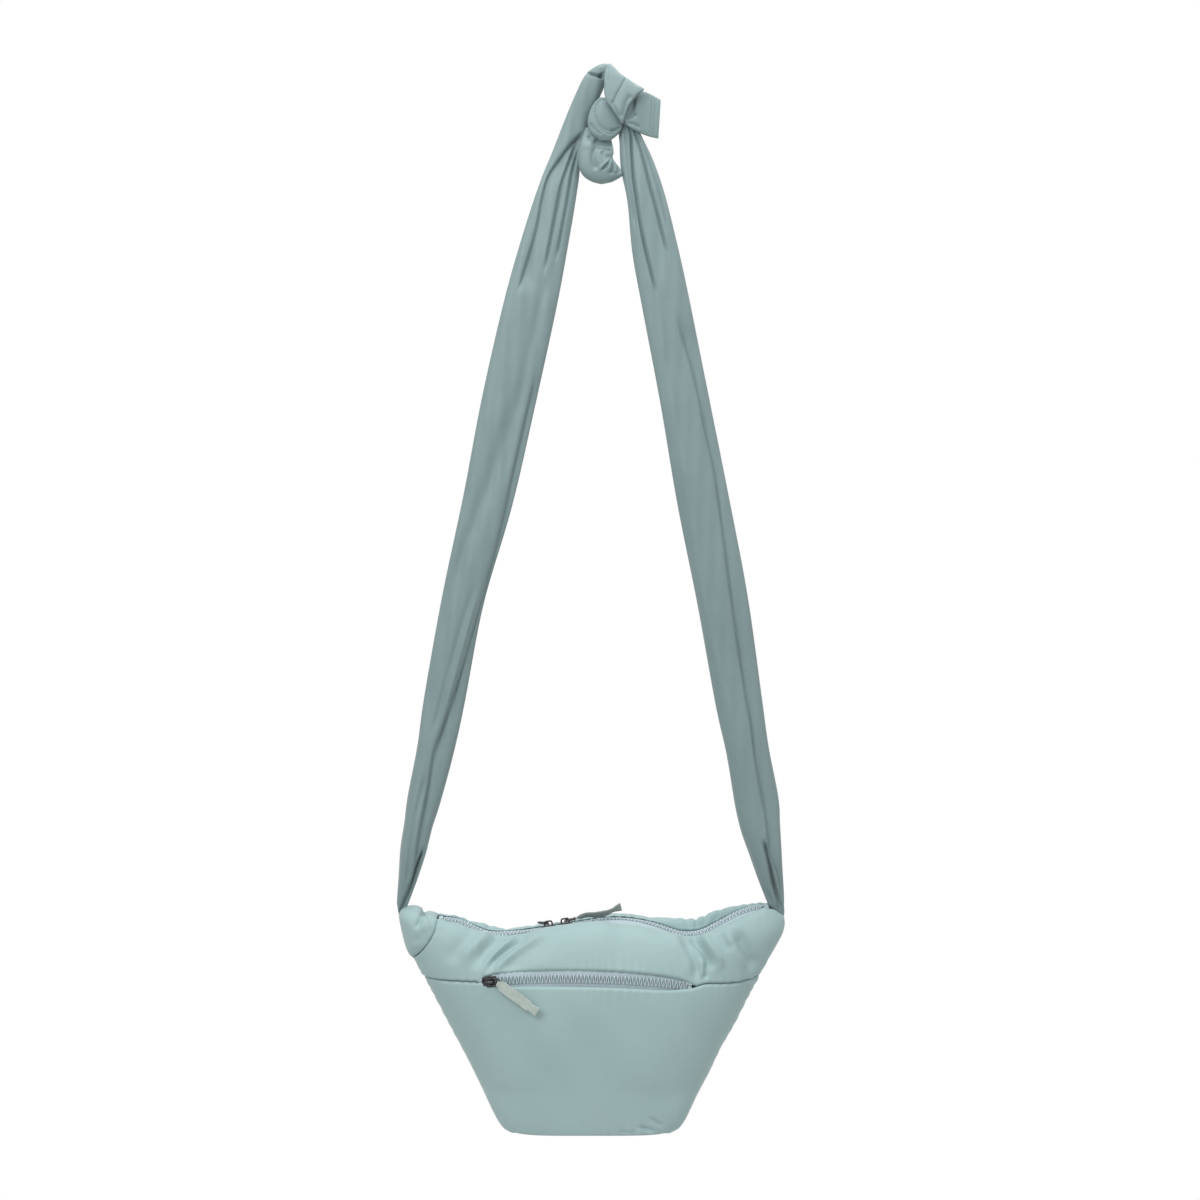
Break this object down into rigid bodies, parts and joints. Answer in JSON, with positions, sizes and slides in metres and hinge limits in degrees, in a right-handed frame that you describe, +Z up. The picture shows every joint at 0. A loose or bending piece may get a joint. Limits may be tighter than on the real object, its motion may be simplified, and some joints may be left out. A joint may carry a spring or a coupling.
{
  "type": "trapeze bag",
  "caption": "Padded trapeze-shaped shoulder bag hung by a knotted cloth strap, with a top zip, a front pocket zip, ring pulls and ribbon pulls.",
  "frame": {"origin": "the point under the strap's top fold where a hook carries the bag", "axes": "+Z up against gravity as the bag hangs, +X to the right seen from the front, +Y to the back; the front faces -Y"},
  "size_m": [0.3015, 0.094, 0.8281],
  "materials": {
    "padded_nylon": "matte",
    "strap_nylon": "matte",
    "wadding": "matte",
    "lining_cloth": "matte",
    "zip_tape": "matte",
    "zip_plastic": "satin",
    "gunmetal": "gloss",
    "ribbon": "matte"
  },
  "bodies": {
    "strap": {"strap_left": "strap_nylon", "strap_left_turn": "strap_nylon", "strap_left_tail": "strap_nylon", "strap_right": "strap_nylon", "strap_right_turn": "strap_nylon", "strap_right_tail": "strap_nylon"},
    "bag": {"front_upper_panel": "padded_nylon", "front_lower_panel": "padded_nylon", "back_panel": "padded_nylon", "base_panel": "padded_nylon", "left_corner_panel": "padded_nylon", "front_upper_wadding": "wadding", "front_lower_wadding": "wadding", "back_wadding": "wadding", "base_wadding": "wadding", "lining": "lining_cloth", "front_pocket_pouch": "lining_cloth", "top_zip_tape_front": "zip_tape", "top_zip_tape_back": "zip_tape", "top_zip_teeth_front": "zip_plastic", "top_zip_teeth_back": "zip_plastic", "top_zip_end_stops": "zip_plastic", "front_zip_tape_upper": "zip_tape", "front_zip_tape_lower": "zip_tape", "front_zip_teeth_upper": "zip_plastic", "front_zip_teeth_lower": "zip_plastic", "front_zip_end_stops": "zip_plastic"},
    "front_slider": {"front_slider": "gunmetal"},
    "front_ring": {"front_pull_ring": "gunmetal"},
    "front_ribbon": {"front_pull_ribbon": "ribbon"},
    "top_left_slider": {"top_left_slider": "gunmetal"},
    "top_left_ring": {"top_left_pull_ring": "gunmetal"},
    "top_right_slider": {"top_right_slider": "gunmetal"},
    "top_right_ring": {"top_right_pull_ring": "gunmetal"},
    "top_right_ribbon": {"top_right_pull_ribbon": "ribbon"}
  },
  "joints": [
    {"name": "bag_swing", "type": "hinge", "parent": "strap", "child": "bag", "pos_m": [0, 0, -0.6495], "axis": [1, 0, 0], "range_deg": [-60, 60]},
    {"name": "front_slider_travel", "type": "hinge", "parent": "bag", "child": "front_slider", "pos_m": [-0.01728, 0.27609, -0.94939], "axis": [0.0151, 0.6198, 0.7846], "range_deg": [0, 20], "deforming": ["front_zip_tape_upper", "front_zip_tape_lower", "front_zip_teeth_upper", "front_zip_teeth_lower"]},
    {"name": "front_ring_lift", "type": "hinge", "parent": "front_slider", "child": "front_ring", "pos_m": [-0.08672, -0.03762, -0.70342], "axis": [0.0945, -0.0082, -0.9955], "range_deg": [-3, 150]},
    {"name": "front_ribbon_swing", "type": "hinge", "parent": "front_ring", "child": "front_ribbon", "pos_m": [-0.08178, -0.03917, -0.70294], "axis": [-0.2963, -0.9549, -0.0202], "range_deg": [-22, 98]},
    {"name": "top_left_slider_travel", "type": "hinge", "parent": "bag", "child": "top_left_slider", "pos_m": [-0.0747, 0, -0.5135], "axis": [0, 1, 0], "range_deg": [0, 20], "deforming": ["top_zip_tape_front", "top_zip_tape_back", "top_zip_teeth_front", "top_zip_teeth_back"]},
    {"name": "top_left_ring_lift", "type": "hinge", "parent": "top_left_slider", "child": "top_left_ring", "pos_m": [-0.04263, 0, -0.66415], "axis": [0, 1, 0], "range_deg": [-8, 144]},
    {"name": "top_right_slider_travel", "type": "slide", "parent": "bag", "child": "top_right_slider", "axis": [0.9979, 0, 0.0655], "range_m": [0, 0.133], "deforming": ["top_right_pull_ribbon"]},
    {"name": "top_right_ring_lift", "type": "hinge", "parent": "top_right_slider", "child": "top_right_ring", "pos_m": [-0.02963, 0, -0.66209], "axis": [0, -1, 0], "range_deg": [-2, 155]},
    {"name": "top_right_ribbon_swing", "type": "hinge", "parent": "top_right_ring", "child": "top_right_ribbon", "pos_m": [-0.02454, 0, -0.66101], "axis": [-0.2079, 0, 0.9781], "range_deg": [-45, 45]}
  ]
}
